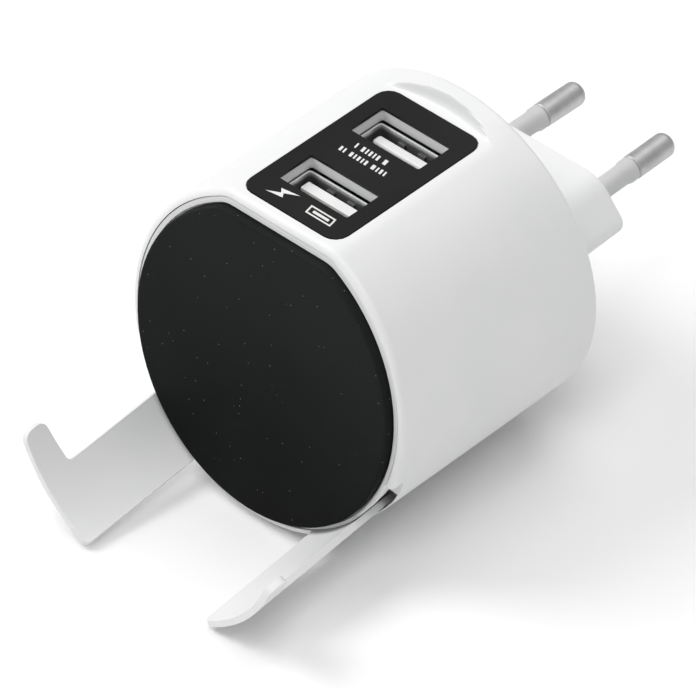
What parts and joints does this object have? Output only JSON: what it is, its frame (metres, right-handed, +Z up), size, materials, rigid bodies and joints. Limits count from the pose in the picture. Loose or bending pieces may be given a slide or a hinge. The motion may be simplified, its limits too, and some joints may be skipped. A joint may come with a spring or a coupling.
{
  "type": "usb wall charger",
  "caption": "Round mains wall charger with USB sockets in its flat top, a leaning rubber pad on the front, and curved hooked arms that slide out to hold a phone.",
  "frame": {"origin": "centre of the plug's face, between the pins, where it meets the wall socket", "axes": "+Y along the pins towards the wall, +X to the right as seen from the room, +Z up, the way the sockets face"},
  "size_m": [0.0544, 0.1037, 0.0545],
  "materials": {
    "white_plastic": "satin",
    "black_rubber": "matt",
    "black_label": "satin",
    "dark_plastic": "matt",
    "nickel": "nickel plated, satin",
    "grey_sleeve": "satin",
    "copper": "tinned copper wire",
    "steel_sheet": "plated sheet",
    "light_grey_plastic": "satin",
    "gilt": "gold plated",
    "board_green": "solder mask",
    "ferrite": "matt",
    "yellow_tape": "satin tape",
    "blue_coating": "dipped coating",
    "black_sleeving": "printed sleeving"
  },
  "bodies": {
    "housing": {"housing_shell": "white_plastic", "front_plate": "white_plastic", "pin_carrier": "white_plastic", "rubber_pad": "black_rubber", "label_plate": "black_label", "arm_channel_left": "dark_plastic", "arm_channel_right": "dark_plastic", "board_header": "dark_plastic", "charge_controller": "dark_plastic", "output_rectifier": "dark_plastic", "optocoupler": "dark_plastic", "bridge_rectifier": "dark_plastic", "switching_controller": "dark_plastic", "pin_left": "nickel", "pin_right": "nickel", "pin_sleeve_left": "grey_sleeve", "pin_sleeve_right": "grey_sleeve", "pin_lead_left": "copper", "pin_lead_right": "copper", "usb_shell_front": "steel_sheet", "usb_shell_rear": "steel_sheet", "usb_tongue_front": "light_grey_plastic", "usb_tongue_rear": "light_grey_plastic", "usb_front_contact_1": "gilt", "usb_front_contact_2": "gilt", "usb_front_contact_3": "gilt", "usb_front_contact_4": "gilt", "usb_rear_contact_1": "gilt", "usb_rear_contact_2": "gilt", "usb_rear_contact_3": "gilt", "usb_rear_contact_4": "gilt", "port_board": "board_green", "main_board": "board_green", "transformer_core": "ferrite", "filter_choke": "ferrite", "transformer_winding": "yellow_tape", "safety_capacitor": "blue_coating", "fuse_resistor": "blue_coating", "input_capacitor_1": "black_sleeving", "input_capacitor_2": "black_sleeving", "output_capacitor_1": "black_sleeving", "output_capacitor_2": "black_sleeving"},
    "arm_left": {"arm_left": "white_plastic"},
    "arm_right": {"arm_right": "white_plastic"}
  },
  "joints": [
    {"name": "arm_left_slide", "type": "slide", "parent": "housing", "child": "arm_left", "axis": [0, 0.9945, 0.1045], "range_m": [0, 0.02283]},
    {"name": "arm_right_slide", "type": "slide", "parent": "housing", "child": "arm_right", "axis": [0, 0.9945, 0.1045], "range_m": [0, 0.02283]}
  ]
}
